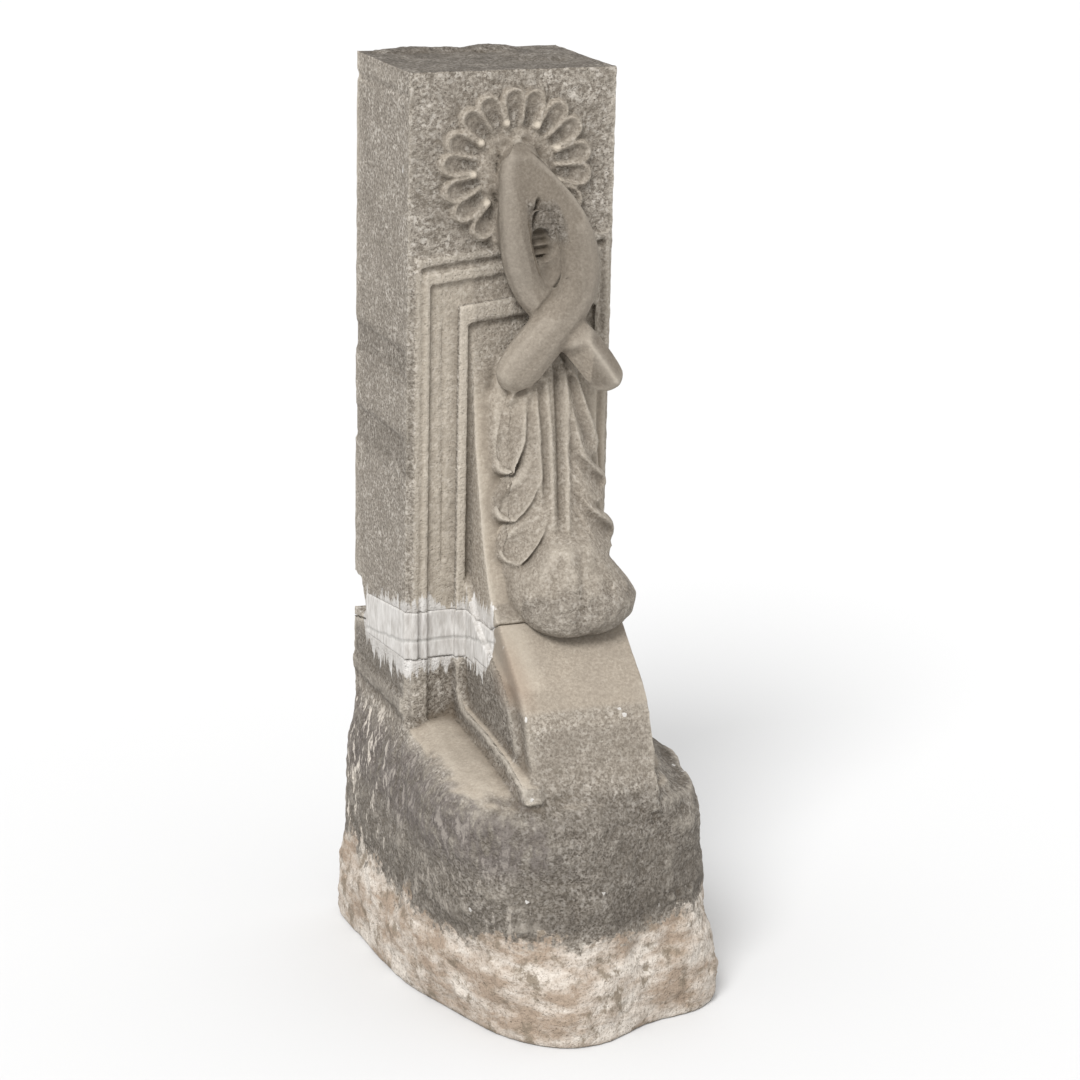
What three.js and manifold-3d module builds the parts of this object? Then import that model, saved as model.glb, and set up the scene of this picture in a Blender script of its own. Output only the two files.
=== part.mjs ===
// Carved stone corbel standing on its own rough tail: a square shaft with a shell
// rosette and a knotted ribbon, a stepped frame, and a console that sweeps forward
// under a hanging acanthus leaf. The stone is broken across and mended, with a
// white plaster fill round the front left corner of the break.
// Millimetres, +Z up, the carved front faces -Y.

import * as THREE from 'three';
import { mergeVertices } from 'three/addons/utils/BufferGeometryUtils.js';
import Module from 'manifold-3d';

const wasm = await Module();
wasm.setup();

// Shaft, measured from its front left foot
const SHAFT_WIDTH = 257;
const SHAFT_DEPTH = 195;
const SHAFT_TOP = 1100;
// Parts that stand on the tail start this low, buried in it
const BODY_LOW = 250;
// Cutting blocks reach this far past the stone on every side
const CLEAR = 400;

// Fracture: falls to the back by this much for each millimetre of depth. In front
// it rises over the console as [y, z], then passes below the leaf tip
const BREAK_HEIGHT = 428;
const BREAK_FALL = 0.19;
const BREAK_FRONT = [[-150, 424], [-117, 446], [-100, 461], [-84, 452], [-62, 440]];
const JOINT_GAP = 0.3;

// Stepped frame on the front: each member as left x, right x, height of its
// top left corner, and how far it stands forward
const FRAME_RISE = 0.1;
const FRAME_ROOT = 8;
const FRAME_MEMBERS = [
  { outer: [8, 252, 882], inner: [15, 246, 873], proud: 5 },
  { outer: [20, 241, 864], inner: [27, 236, 852], proud: 5 },
  { outer: [62, 236, 826], inner: [74, 234, 804], proud: 8 },
];

// Console: front profile as [forward y, z], and its stepped left and right sides
const CONSOLE_LEFT = 81;
const CONSOLE_RIGHT = 238;
const CONSOLE_PROFILE = [
  [0, 806], [-8, 712], [-18, 653], [-33, 596], [-45, 552], [-60, 515], [-76, 482],
  [-92, 467], [-106, 455], [-142, 425], [-176, 398], [-194, 376], [-204, 350],
  [-219, 320], [-234, 292], [-245, 262],
];
const CONSOLE_BACK = 20;
const SIDE_STEP = 7;
const SIDE_PROFILE = [
  [0, 500], [-10, 482], [-19, 466], [-41, 443], [-62, 430], [-100, 416],
  [-127, 403], [-155, 380], [-176, 355], [-194, 318], [-205, 275],
];
const PLINTH_LEFT = 62;
const PLINTH_PROFILE = [
  [0, 400], [-8, 400], [-12, 362], [-20, 346], [-36, 336], [-80, 333], [-115, 331],
  [-182, 322], [-235, 304], [-246, 285],
];

// Rosette: bilobed petals fanned round a centre, with a bead in each gap
const ROSE = { x: 131, z: 986, inner: 47, outer: 96, bead: 52, beadRadius: 6 };
const PETAL_FIRST = -39.6;
const PETAL_STEP = 41.2;
const PETAL_COUNT = 8;
const LOBE_SPREAD = 9.2;
const LOBE_HALF = 14.2;
const LOBE_PROUD = 11;

// Carved lobes and ribs: steps along one, how deep it is rooted, and its section
// as [across, height], in half widths and in its own height
const LOBE_STEPS = 7;
const LOBE_ROOT = 9;
const LOBE_SECTION = [
  [-1, -1], [-1, 0.4], [-0.74, 1], [-0.36, 0.35], [0.36, 0.35], [0.74, 1], [1, 0.4], [1, -1],
];
const RIB_SECTION = [
  [-1, -1], [-1, 0.3], [-0.5, 0.9], [0, 1], [0.5, 0.9], [1, 0.3], [1, -1],
];

// Ribbon strands: x, y, z, half width, half depth at stations down each strand
const STRAND_SIDES = 10;
const STRAND_STEPS = 22;
const STRAND_ROUND = 0.8;
const STRAND_UNDER = [
  [131, -4, 1012, 5, 6], [126, -12, 992, 18, 14], [123, -18, 958, 19, 16],
  [122, -22, 918, 18, 18], [127, -26, 876, 19, 20], [143, -29, 843, 21, 21],
  [168, -36, 816, 22, 22], [192, -48, 790, 23, 24], [211, -62, 764, 23, 25],
  [226, -68, 742, 21, 21], [232, -70, 731, 8, 9],
];
const RIBBON_HEAD = [
  [130, -5, 1015, 6, 6], [133, -13, 992, 23, 13], [139, -17, 966, 33, 14],
  [144, -12, 940, 26, 9],
];
const STRAND_OVER = [
  [131, -5, 1010, 5, 6], [142, -13, 990, 16, 14], [161, -20, 964, 20, 16],
  [184, -26, 932, 23, 20], [198, -33, 894, 25, 22], [198, -40, 857, 25, 24],
  [181, -46, 825, 25, 25], [157, -46, 796, 27, 24], [135, -38, 765, 28, 23],
  [122, -30, 742, 25, 20], [117, -26, 727, 10, 10],
];

// Acanthus leaf: a swelling body on the console with lobes to each side
const LEAF_AXIS = 163;
const LEAF_REACH = 84;
const LEAF_BACK = 5;
const LEAF_SIDES = 8;
const LEAF_SWELL = [
  [800, 6], [770, 22], [715, 30], [659, 37], [597, 46], [560, 54], [500, 60],
  [440, 60],
];
const LEAF_BODY = [
  [792, 14], [765, 30], [725, 44], [675, 50], [625, 54], [580, 60], [545, 66],
  [512, 64], [490, 48],
];
const LEFT_LOBES = [
  { spine: [[140, 772], [130, 712], [122, 664], [117, 634]], half: 20, proud: 11 },
  { spine: [[153, 672], [138, 632], [120, 602], [104, 582]], half: 21, proud: 12 },
  { spine: [[153, 616], [140, 580], [121, 551], [104, 532]], half: 22, proud: 13 },
];
const RIGHT_LOBES = [
  { spine: [[186, 772], [200, 710], [212, 668], [221, 642]], half: 18, proud: 11 },
  { spine: [[176, 668], [196, 636], [218, 612], [234, 598]], half: 20, proud: 14 },
  { spine: [[174, 612], [196, 580], [222, 556], [242, 541]], half: 22, proud: 17 },
];
const MIDRIBS = [
  { spine: [[154, 790], [157, 715], [161, 640], [164, 560]], half: 6, proud: 8 },
  { spine: [[170, 790], [172, 715], [174, 640], [176, 560]], half: 6, proud: 8 },
];

// Curled leaf tip: height, centre x, half width, forward reach, back
const TIP_RINGS = [
  [578, 166, 27, 94, 30], [564, 167, 42, 116, 35], [546, 168, 54, 130, 38],
  [524, 171, 65, 141, 46], [502, 178, 76, 149, 56], [484, 183, 81, 154, 66],
  [468, 181, 73, 155, 84], [456, 177, 59, 150, 98], [448, 173, 39, 141, 108],
];
const TIP_SIDES = 22;
const TIP_BOW = 0.85;
const TIP_BACK_BOW = 12;
const TIP_SEAM = { x: 177, half: 13, depth: 9 };

// Rough tail block: plan corners as floor x, floor y, shoulder x, shoulder y
const TAIL_PLAN = [
  [-24, 184, -9, 186], [-28, 91, -13, 91], [-25, 0, -15, -33], [-19, -66, -18, -110],
  [2, -136, -16, -172], [20, -192, 6, -222], [39, -242, 38, -246], [74, -284, 72, -256],
  [108, -302, 110, -260], [150, -301, 150, -262], [223, -266, 212, -246],
  [286, -254, 266, -222], [325, -222, 304, -186], [338, -160, 320, -130],
  [340, 0, 330, 0], [336, 150, 328, 150], [314, 192, 310, 190], [150, 195, 150, 194],
  [8, 194, 12, 193],
];
const TAIL_SIDES = 52;
const TAIL_ROUGH = 1.6;
const TAIL_CENTRE = { x: 157, y: -50 };
const TAIL_SWELL = [
  [0, -3], [36, 4], [76, 4], [98, -3], [170, 0], [236, 3], [268, -3],
];
const SHOULDER_INSETS = [12, 40, 90];
const SHOULDER_DROPS = [16, 4, 0];
const LEDGE_HEIGHT = 321;
const LEDGE_FALL = 0.11;
const LEDGE_SIDE_FALL = 0.55;

// Left side of the shaft: sunk bands, a groove near the top and a foot fillet
const SIDE_BANDS = [[736, 772], [624, 667]];
const BAND_DEPTH = 1.8;
const BAND_INSET = 12;
const TOP_GROOVE = [1066, 1076];
const GROOVE_DEPTH = 1.2;
const GROOVE_INSET = 6;
const FOOT_FILLET = [324, 342];
const FOOT_PROUD = 4;

// Losses: a chip in the back left arris, and the uneven top bed
const CHIP = { low: 403, high: 457, depth: 46, width: 34, slope: 10 };
const TOP_BUMPS = [
  { x: 70, y: 175, rx: 62, ry: 15, rise: 5 },
  { x: 158, y: 172, rx: 40, ry: 18, rise: 6 },
  { x: 196, y: 96, rx: 44, ry: 30, rise: 3 },
];
const BUMP_SIDES = 9;
const BUMP_WOBBLE = 0.12;
const BUMP_ROOT = 6;

// Plaster: skin thickness on the side and front, and its upper and lower edges
const PLASTER_SIDE = 5;
const PLASTER_FRONT = 10;
const PLASTER_BACK = 146;
const PLASTER_EDGE = { lowFront: 394, highFront: 452, lowBack: 384, highBack: 434 };
const PLASTER_REACH = 40;
const PLASTER_RIGHT = 77;
const PLASTER_TUCK = 2;
const PLASTER_NOSE = { forward: 84, low: 8, high: 6 };

const STONE = { color: 0x8f887c, roughness: 0.95, metalness: 0 };
const TAIL_STONE = { color: 0x857e72, roughness: 0.97, metalness: 0 };
const PLASTER = { color: 0xcfcdca, roughness: 0.9, metalness: 0 };

const clamp = (v, a, b) => Math.min(Math.max(v, a), b);

// Straight-line reading of a table of [z, value] rows that run downward
function readDown(rows, z) {
  if (z >= rows[0][0]) return rows[0][1];
  for (let i = 1; i < rows.length; i += 1) {
    const [z1, v1] = rows[i];
    const [z0, v0] = rows[i - 1];
    if (z >= z1) return v1 + ((z - z1) / (z0 - z1)) * (v0 - v1);
  }
  return rows[rows.length - 1][1];
}

const consoleRows = CONSOLE_PROFILE.map(([y, z]) => [z, y]);
const consoleFront = (z) => readDown(consoleRows, z);

function leafSurface(x, z) {
  const across = clamp(Math.abs(x - LEAF_AXIS) / LEAF_REACH, 0, 1);
  return consoleFront(z) - readDown(LEAF_SWELL, z) * (1 - across * across);
}

function toSolid(geometry) {
  const bare = geometry.clone();
  bare.deleteAttribute('normal');
  bare.deleteAttribute('uv');
  const merged = mergeVertices(bare, 1e-4);
  const mesh = new wasm.Mesh({
    numProp: 3,
    vertProperties: new Float32Array(merged.attributes.position.array),
    triVerts: new Uint32Array(merged.index.array),
  });
  return new wasm.Manifold(mesh);
}

function toGeometry(solid) {
  const mesh = solid.getMesh();
  const geometry = new THREE.BufferGeometry();
  geometry.setAttribute('position', new THREE.BufferAttribute(mesh.vertProperties, 3));
  geometry.setIndex(new THREE.BufferAttribute(mesh.triVerts, 1));
  return geometry;
}

const union = (solids) => solids.reduce((a, b) => a.add(b));

function block(x0, x1, y0, y1, z0, z1) {
  const geometry = new THREE.BoxGeometry(x1 - x0, y1 - y0, z1 - z0);
  geometry.translate((x0 + x1) / 2, (y0 + y1) / 2, (z0 + z1) / 2);
  return toSolid(geometry);
}

// An outline of [y, z] drawn out along x
function runAcross(outline, x0, x1) {
  const shape = new THREE.Shape(outline.map(([y, z]) => new THREE.Vector2(y, z)));
  const geometry = new THREE.ExtrudeGeometry(shape, { depth: x1 - x0, bevelEnabled: false });
  const turn = new THREE.Matrix4().makeBasis(
    new THREE.Vector3(0, 1, 0),
    new THREE.Vector3(0, 0, 1),
    new THREE.Vector3(1, 0, 0),
  );
  geometry.applyMatrix4(turn);
  geometry.translate(x0, 0, 0);
  return toSolid(geometry);
}

// An outline of [x, z] drawn forward from y0 by a depth
function runForward(outline, y0, depth) {
  const shape = new THREE.Shape(outline.map(([x, z]) => new THREE.Vector2(x, z)));
  const geometry = new THREE.ExtrudeGeometry(shape, { depth, bevelEnabled: false });
  const turn = new THREE.Matrix4().makeBasis(
    new THREE.Vector3(1, 0, 0),
    new THREE.Vector3(0, 0, 1),
    new THREE.Vector3(0, -1, 0),
  );
  geometry.applyMatrix4(turn);
  geometry.translate(0, y0, 0);
  return toSolid(geometry);
}

// A closed body through rings of equal count, capped by a fan at each end
function loft(rings) {
  const count = rings[0].length;
  const middle = (ring) => {
    const sum = ring.reduce((a, p) => a.add(p), new THREE.Vector3());
    return sum.divideScalar(ring.length);
  };
  const points = rings.flat().concat([middle(rings[0]), middle(rings[rings.length - 1])]);
  const first = points.length - 2;
  const last = points.length - 1;
  const index = [];
  for (let r = 0; r < rings.length - 1; r += 1) {
    for (let i = 0; i < count; i += 1) {
      const a = r * count + i;
      const b = r * count + ((i + 1) % count);
      index.push(a, b, b + count);
      index.push(a, b + count, a + count);
    }
  }
  const top = (rings.length - 1) * count;
  for (let i = 0; i < count; i += 1) {
    const next = (i + 1) % count;
    index.push(first, next, i);
    index.push(last, top + i, top + next);
  }
  let volume = 0;
  for (let i = 0; i < index.length; i += 3) {
    const [a, b, c] = [points[index[i]], points[index[i + 1]], points[index[i + 2]]];
    volume += a.dot(b.clone().cross(c));
  }
  if (volume < 0) index.reverse();
  const geometry = new THREE.BufferGeometry().setFromPoints(points);
  geometry.setIndex(index);
  return toSolid(geometry);
}

// A carved lobe along a spine of [x, z], dished down its middle, on a surface
function lobe(spine, half, proud, surface, section, widen) {
  const curve = new THREE.SplineCurve(spine.map(([x, z]) => new THREE.Vector2(x, z)));
  const rings = [];
  for (let i = 0; i <= LOBE_STEPS; i += 1) {
    const t = i / LOBE_STEPS;
    const at = curve.getPoint(t);
    const along = curve.getTangent(t);
    const width = half * widen(t);
    const height = proud * Math.min(1, 0.45 + widen(t) * 0.55);
    rings.push(section.map(([u, h]) => {
      const x = at.x + along.y * u * width;
      const z = at.y - along.x * u * width;
      const lift = h < 0 ? -LOBE_ROOT : h * height;
      return new THREE.Vector3(x, surface(x, z) - lift, z);
    }));
  }
  return loft(rings);
}

// Width along a lobe: narrow at its root, full near its rounded outer end
const leafWiden = (t) => (0.4 + 0.6 * Math.sin(Math.min(t * 1.25, 1) * Math.PI / 2))
  * Math.sqrt(clamp(1.02 - Math.max(0, (t - 0.72) / 0.28) ** 2, 0.12, 1));
const ribWiden = (t) => 1 - 0.25 * t;

// A thick rounded ribbon strand through its stations
function strand(rows) {
  const path = new THREE.CatmullRomCurve3(rows.map((r) => new THREE.Vector3(r[0], r[1], r[2])));
  const sizes = new THREE.CatmullRomCurve3(rows.map((r) => new THREE.Vector3(r[3], r[4], 0)));
  const rings = [];
  for (let i = 0; i <= STRAND_STEPS; i += 1) {
    const t = i / STRAND_STEPS;
    const at = path.getPoint(t);
    const along = path.getTangent(t);
    const across = new THREE.Vector3(along.z, 0, -along.x).normalize();
    const out = new THREE.Vector3().crossVectors(along, across).normalize();
    const size = sizes.getPoint(t);
    const ring = [];
    for (let k = 0; k < STRAND_SIDES; k += 1) {
      const angle = (k / STRAND_SIDES) * Math.PI * 2;
      const c = Math.cos(angle);
      const s = Math.sin(angle);
      const reach = Math.sign(c) * Math.abs(c) ** STRAND_ROUND * size.x;
      const rise = Math.sign(s) * Math.abs(s) ** STRAND_ROUND * size.y;
      ring.push(at.clone().addScaledVector(across, reach).addScaledVector(out, rise));
    }
    rings.push(ring);
  }
  return loft(rings);
}

function shaft() {
  let solid = block(0, SHAFT_WIDTH, 0, SHAFT_DEPTH, BODY_LOW, SHAFT_TOP);
  for (const [low, high] of SIDE_BANDS) {
    solid = solid.subtract(block(-CLEAR, BAND_DEPTH, BAND_INSET, CLEAR, low, high));
  }
  const [low, high] = TOP_GROOVE;
  solid = solid.subtract(block(-CLEAR, GROOVE_DEPTH, GROOVE_INSET, CLEAR, low, high));
  const foot = block(-FOOT_PROUD, 10, 4, SHAFT_DEPTH - 4, FOOT_FILLET[0], FOOT_FILLET[1]);
  solid = solid.add(foot);
  for (const bump of TOP_BUMPS) {
    const ring = (scale, z) => Array.from({ length: BUMP_SIDES }, (_, k) => {
      const a = (k / BUMP_SIDES) * Math.PI * 2;
      const wobble = 1 + BUMP_WOBBLE * Math.sin(3 * a + bump.x);
      const x = clamp(bump.x + Math.cos(a) * bump.rx * scale * wobble, 4, SHAFT_WIDTH - 4);
      const y = clamp(bump.y + Math.sin(a) * bump.ry * scale * wobble, 6, SHAFT_DEPTH - 2);
      return new THREE.Vector3(x, y, z);
    });
    solid = solid.add(loft([
      ring(1, SHAFT_TOP - BUMP_ROOT),
      ring(1, SHAFT_TOP + bump.rise * 0.3),
      ring(0.6, SHAFT_TOP + bump.rise),
    ]));
  }
  return solid;
}

function frame() {
  const region = ([left, right, top]) => [
    [left, BODY_LOW],
    [right, BODY_LOW],
    [right, top + FRAME_RISE * (right - left)],
    [left, top],
  ];
  return union(FRAME_MEMBERS.map(({ outer, inner, proud }) => {
    const whole = runForward(region(outer), FRAME_ROOT, FRAME_ROOT + proud);
    const opening = runForward(region(inner), FRAME_ROOT + 1, FRAME_ROOT + proud + 2);
    return whole.subtract(opening);
  }));
}

function sweep() {
  const backed = (profile, low) => profile.concat([
    [CONSOLE_BACK, low],
    [CONSOLE_BACK, profile[0][1]],
  ]);
  const front = runAcross(backed(CONSOLE_PROFILE, BODY_LOW + 20), CONSOLE_LEFT, CONSOLE_RIGHT);
  const sides = runAcross(
    backed(SIDE_PROFILE, BODY_LOW + 25),
    CONSOLE_LEFT - SIDE_STEP,
    CONSOLE_RIGHT + SIDE_STEP,
  );
  const plinth = runAcross(
    backed(PLINTH_PROFILE, BODY_LOW + 35),
    PLINTH_LEFT,
    CONSOLE_LEFT + SIDE_STEP,
  );
  return front.add(sides).add(plinth);
}

function rosette() {
  const plane = () => 0;
  const radians = Math.PI / 180;
  const at = (radius, degrees) => [
    ROSE.x + radius * Math.cos(degrees * radians),
    ROSE.z + radius * Math.sin(degrees * radians),
  ];
  const parts = [];
  for (let k = 0; k < PETAL_COUNT; k += 1) {
    const middle = PETAL_FIRST + k * PETAL_STEP;
    for (const side of [-1, 1]) {
      const spine = [
        at(ROSE.inner, middle + side * LOBE_SPREAD * 0.9),
        at((ROSE.inner + ROSE.outer) / 2, middle + side * LOBE_SPREAD),
        at(ROSE.outer - 1, middle + side * LOBE_SPREAD * 1.06),
      ];
      parts.push(lobe(spine, LOBE_HALF, LOBE_PROUD, plane, LOBE_SECTION, leafWiden));
    }
    const bead = new THREE.SphereGeometry(ROSE.beadRadius, 8, 6);
    const [x, z] = at(ROSE.bead, middle + PETAL_STEP / 2);
    bead.translate(x, -ROSE.beadRadius * 0.9, z);
    parts.push(toSolid(bead));
  }
  return union(parts);
}

function leaf() {
  const rings = LEAF_BODY.map(([z, half]) => {
    const ring = [];
    for (let i = 0; i <= LEAF_SIDES; i += 1) {
      const across = (2 * i) / LEAF_SIDES - 1;
      const x = LEAF_AXIS + half * across;
      const edge = 1 - Math.abs(across) ** 6;
      ring.push(new THREE.Vector3(x, leafSurface(x, z) * edge + consoleFront(z) * (1 - edge), z));
    }
    ring.push(new THREE.Vector3(LEAF_AXIS + half, LEAF_BACK, z));
    ring.push(new THREE.Vector3(LEAF_AXIS - half, LEAF_BACK, z));
    return ring;
  });
  const parts = [loft(rings)];
  for (const { spine, half, proud } of LEFT_LOBES.concat(RIGHT_LOBES)) {
    parts.push(lobe(spine, half, proud, leafSurface, LOBE_SECTION, leafWiden));
  }
  for (const { spine, half, proud } of MIDRIBS) {
    parts.push(lobe(spine, half, proud, leafSurface, RIB_SECTION, ribWiden));
  }
  return union(parts);
}

function leafTip() {
  const rings = TIP_RINGS.map(([z, centre, half, forward, back]) => {
    const ring = [];
    for (let k = 0; k < TIP_SIDES; k += 1) {
      const angle = (k / TIP_SIDES) * Math.PI * 2;
      const x = centre + half * Math.cos(angle);
      const front = Math.sin(angle) > 0;
      const bow = Math.abs(Math.sin(angle)) ** TIP_BOW;
      const near = clamp(1 - Math.abs(x - TIP_SEAM.x) / TIP_SEAM.half, 0, 1);
      const reach = back + (forward - back) * bow - near * TIP_SEAM.depth;
      ring.push(new THREE.Vector3(x, front ? -reach : -back + bow * TIP_BACK_BOW, z));
    }
    return ring;
  });
  return loft(rings);
}

function tail() {
  const floorLine = new THREE.CatmullRomCurve3(
    TAIL_PLAN.map(([x, y]) => new THREE.Vector3(x, y, 0)),
    true,
    'centripetal',
  );
  const shoulderLine = new THREE.CatmullRomCurve3(
    TAIL_PLAN.map(([, , x, y]) => new THREE.Vector3(x, y, 0)),
    true,
    'centripetal',
  );
  const shoulderHeight = TAIL_SWELL[TAIL_SWELL.length - 1][0];
  const ledge = (x, y) => LEDGE_HEIGHT + LEDGE_FALL * Math.min(y, 0)
    - LEDGE_SIDE_FALL * Math.max(0, x - SHAFT_WIDTH) - 0.5 * Math.max(0, -x);
  const rings = TAIL_SWELL.map(([z, swell]) => {
    const ring = [];
    for (let k = 0; k < TAIL_SIDES; k += 1) {
      const t = k / TAIL_SIDES;
      const at = floorLine.getPoint(t).lerp(shoulderLine.getPoint(t), z / shoulderHeight);
      const out = new THREE.Vector3(at.x - TAIL_CENTRE.x, at.y - TAIL_CENTRE.y, 0).normalize();
      const turn = Math.atan2(out.y, out.x);
      const rough = Math.sin(turn * 7 + z / 31) + Math.sin(turn * 12 - z / 17);
      const calm = z === 0 || at.y > SHAFT_DEPTH - 8 ? 0 : 1;
      ring.push(at.addScaledVector(out, (swell + TAIL_ROUGH * rough) * calm).setZ(z));
    }
    return ring;
  });
  SHOULDER_INSETS.forEach((inset, i) => {
    rings.push(rings[TAIL_SWELL.length - 1].map((p) => {
      const inward = new THREE.Vector3(TAIL_CENTRE.x - p.x, TAIL_CENTRE.y - p.y, 0).normalize();
      const at = p.clone().addScaledVector(inward, inset);
      return at.setZ(ledge(at.x, at.y) - SHOULDER_DROPS[i]);
    }));
  });
  return loft(rings);
}

// Everything above the fracture, moved up by a shift
function aboveBreak(shift) {
  const front = BREAK_FRONT.map(([y, z]) => [y, z + shift]);
  return runAcross([
    [-CLEAR, front[0][1]],
    ...front,
    [CLEAR, BREAK_HEIGHT - BREAK_FALL * CLEAR + shift],
    [CLEAR, SHAFT_TOP + CLEAR],
    [-CLEAR, SHAFT_TOP + CLEAR],
  ], -CLEAR, SHAFT_WIDTH + CLEAR);
}

// The band round the corner that the plaster fills, grown by a margin, with a
// nose along the side of the console
function plasterBand(margin) {
  const edge = PLASTER_EDGE;
  const nose = PLASTER_NOSE;
  const side = runAcross([
    [-PLASTER_REACH, edge.lowFront - margin],
    [PLASTER_FRONT, edge.lowFront - margin],
    [PLASTER_BACK + margin, edge.lowBack - margin],
    [PLASTER_BACK + margin, edge.highBack + margin],
    [PLASTER_FRONT, edge.highFront + margin],
    [-PLASTER_REACH, edge.highFront + margin],
  ], -CLEAR, PLASTER_RIGHT + margin);
  const beside = block(
    PLINTH_LEFT + PLASTER_TUCK,
    CONSOLE_LEFT + PLASTER_SIDE,
    -nose.forward,
    0,
    edge.lowFront + nose.low - margin,
    edge.highFront - nose.high + margin,
  );
  return side.add(beside);
}

function chip() {
  const { low, high, depth, width, slope } = CHIP;
  const front = SHAFT_DEPTH - depth;
  return runAcross([
    [front, low + slope],
    [front + slope, low],
    [CLEAR, low],
    [CLEAR, high + slope],
    [front + 2 * slope, high - slope],
  ], -CLEAR, width);
}

function corbel() {
  const strands = [STRAND_UNDER, RIBBON_HEAD, STRAND_OVER].map(strand);
  const body = [shaft(), frame(), sweep(), rosette(), leaf(), leafTip(), tail()];
  return union(body.concat(strands)).subtract(chip());
}

const whole = corbel();
// The stone behind the plaster is the same form set back from the left and front
const core = (margin) => whole.translate([PLASTER_SIDE + margin, PLASTER_FRONT + margin, 0]);
const behind = core(0).add(core(JOINT_GAP));
const kept = core(0).intersect(core(JOINT_GAP));
const plasterSkin = whole.intersect(plasterBand(0)).subtract(behind);
const rabbet = plasterBand(JOINT_GAP).subtract(kept);
const stone = whole.subtract(rabbet);
const upper = stone.intersect(aboveBreak(JOINT_GAP / 2));
const lower = stone.subtract(aboveBreak(-JOINT_GAP / 2));

const largest = (solid) => solid.decompose().sort((a, b) => b.volume() - a.volume())[0];

const group = new THREE.Group();
group.name = 'stone_corbel';

function addPiece(name, solid, look) {
  const mesh = new THREE.Mesh(toGeometry(solid), new THREE.MeshStandardMaterial(look));
  mesh.name = name;
  group.add(mesh);
}

addPiece('upper_stone', largest(upper), STONE);
addPiece('lower_stone', largest(lower), TAIL_STONE);
addPiece('plaster_repair', largest(plasterSkin), PLASTER);

// The origin is under the middle of the whole piece, on the floor
const box = new THREE.Box3();
for (const mesh of group.children) {
  mesh.geometry.computeBoundingBox();
  box.union(mesh.geometry.boundingBox);
}
const centre = box.getCenter(new THREE.Vector3());
for (const mesh of group.children) {
  mesh.geometry.translate(-centre.x, -centre.y, -box.min.z);
}

export default group;
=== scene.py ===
import math

import bmesh
import bpy
import numpy as np
from mathutils import Matrix, Vector


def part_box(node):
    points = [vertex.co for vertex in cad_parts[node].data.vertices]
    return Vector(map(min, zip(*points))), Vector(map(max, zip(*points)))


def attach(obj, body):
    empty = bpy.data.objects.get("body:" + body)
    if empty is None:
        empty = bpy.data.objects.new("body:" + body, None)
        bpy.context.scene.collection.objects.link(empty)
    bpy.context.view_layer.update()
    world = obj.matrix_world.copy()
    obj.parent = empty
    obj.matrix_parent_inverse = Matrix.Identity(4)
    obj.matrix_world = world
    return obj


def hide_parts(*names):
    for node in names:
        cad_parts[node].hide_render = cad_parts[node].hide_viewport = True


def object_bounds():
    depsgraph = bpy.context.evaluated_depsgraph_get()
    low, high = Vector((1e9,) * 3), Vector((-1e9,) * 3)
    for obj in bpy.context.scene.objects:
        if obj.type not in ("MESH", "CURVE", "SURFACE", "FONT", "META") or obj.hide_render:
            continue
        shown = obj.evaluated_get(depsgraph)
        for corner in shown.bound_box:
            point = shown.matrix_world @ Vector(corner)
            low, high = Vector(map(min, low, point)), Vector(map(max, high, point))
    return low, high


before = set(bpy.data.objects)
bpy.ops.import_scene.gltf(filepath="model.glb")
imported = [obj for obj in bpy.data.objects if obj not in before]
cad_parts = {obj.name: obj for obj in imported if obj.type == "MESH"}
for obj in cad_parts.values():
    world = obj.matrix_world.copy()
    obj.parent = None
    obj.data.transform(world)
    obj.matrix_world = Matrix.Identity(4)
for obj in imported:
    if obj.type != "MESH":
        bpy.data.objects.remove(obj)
stone_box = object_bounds()

# The viewpoint: a standing eye a little to the left of the carved front, looking
# down through a long lens on a stone 1.1 m high. Places are in millimetres from
# the front left foot of the shaft, as in all the carving below.
SHAFT_DEPTH = 195
low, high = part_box("upper_stone")
CORNER = np.array([low.x * 1000, high.y * 1000 - SHAFT_DEPTH, 0])
EYE = (-1158.85, -3345.95, 1592.53)
YAW, PITCH, ROLL = 0.378607630, 0.287161368, 0.0217036516
LENS = 103.29

camera = bpy.data.objects.new("camera", bpy.data.cameras.new("camera"))
bpy.context.scene.collection.objects.link(camera)
ahead = Vector((math.sin(YAW), math.cos(YAW), 0))
across = Vector((math.cos(YAW), -math.sin(YAW), 0))
upright = Vector((0, 0, 1))
sight = ahead * math.cos(PITCH) - upright * math.sin(PITCH)
above = upright * math.cos(PITCH) + ahead * math.sin(PITCH)
right_edge = across * math.cos(ROLL) + above * math.sin(ROLL)
top_edge = above * math.cos(ROLL) - across * math.sin(ROLL)
turn = Matrix((right_edge, top_edge, -sight)).transposed()
camera.matrix_world = Matrix.Translation((Vector(EYE) + Vector(CORNER)) / 1000) @ turn.to_4x4()
camera.data.lens = LENS
camera.data.clip_end = 50
bpy.context.scene.camera = camera
bpy.context.scene.view_settings.view_transform = "Standard"

# The lower stone: the rough tail that was set in the wall, with the foot of the
# shaft and the sweep of the console on it, split out and pointed by hand.
# It is recut from the frame's solid at a grain fine enough to dress.
TAIL_GRAIN = 0.0032
MOST_TRIANGLES = 190000


def settle(piece):
    bpy.context.view_layer.update()
    shown = piece.evaluated_get(bpy.context.evaluated_depsgraph_get())
    mesh = bpy.data.meshes.new_from_object(shown)
    piece.modifiers.clear()
    piece.data = mesh


def recut(node, name, grain):
    block = bmesh.new()
    block.from_mesh(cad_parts[node].data)
    bmesh.ops.remove_doubles(block, verts=block.verts, dist=0.00001)
    mesh = bpy.data.meshes.new(name)
    block.to_mesh(mesh)
    block.free()
    piece = bpy.data.objects.new(name, mesh)
    bpy.context.scene.collection.objects.link(piece)
    fine = piece.modifiers.new("fine", "REMESH")
    fine.mode = "VOXEL"
    fine.voxel_size = grain
    settle(piece)
    return piece


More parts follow.
